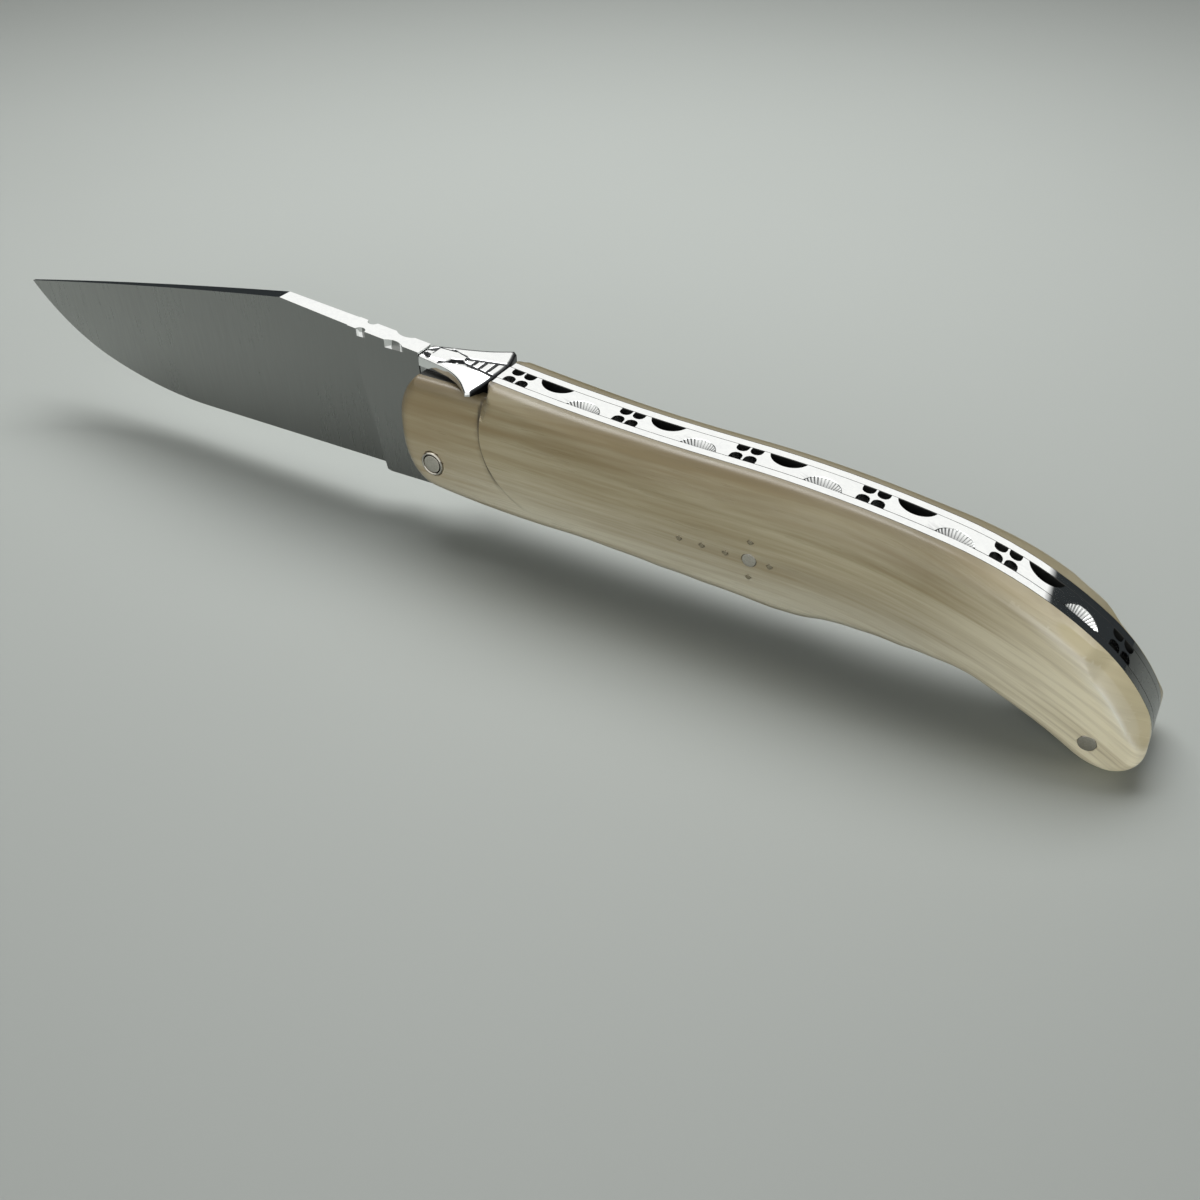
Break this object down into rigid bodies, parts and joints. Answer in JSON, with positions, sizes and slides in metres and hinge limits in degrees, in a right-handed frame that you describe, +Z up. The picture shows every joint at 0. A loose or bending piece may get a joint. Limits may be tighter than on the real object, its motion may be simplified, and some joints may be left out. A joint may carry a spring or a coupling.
{
  "type": "folding pocket knife",
  "caption": "Slip-joint folding knife with a clip-backed blade, curved horn-scaled handle, file-worked back spring and winged fly plate; the blade folds into the handle.",
  "frame": {"origin": "on the ground under the middle of the open knife's length, in its plane of symmetry", "axes": "+X from the blade's tip to the handle's butt, +Y to the far side, +Z up to the spine and back"},
  "size_m": [0.2132, 0.0157, 0.0347],
  "materials": {
    "satin_steel": "satin",
    "polished_steel": "polished",
    "pin_steel": "polished",
    "horn": "satin polished"
  },
  "bodies": {
    "handle": {"back_spring": "polished_steel", "fly_plate": "polished_steel", "near_liner": "polished_steel", "far_liner": "polished_steel", "near_scale": "horn", "far_scale": "horn", "pivot_pin": "pin_steel", "near_pivot_collar": "pin_steel", "far_pivot_collar": "pin_steel", "butt_rivet": "pin_steel", "spring_pin": "pin_steel", "cross_centre_pin": "pin_steel", "far_scale_pin": "pin_steel", "cross_pin_front": "pin_steel", "cross_pin_second": "pin_steel", "cross_pin_third": "pin_steel", "cross_pin_top": "pin_steel", "cross_pin_bottom": "pin_steel", "cross_pin_rear": "pin_steel"},
    "blade": {"blade": "satin_steel"}
  },
  "joints": [
    {"name": "blade_fold", "type": "hinge", "parent": "handle", "child": "blade", "pos_m": [-0.00715, 0, 0.0155], "axis": [0, -1, 0], "range_deg": [0, 180]}
  ]
}
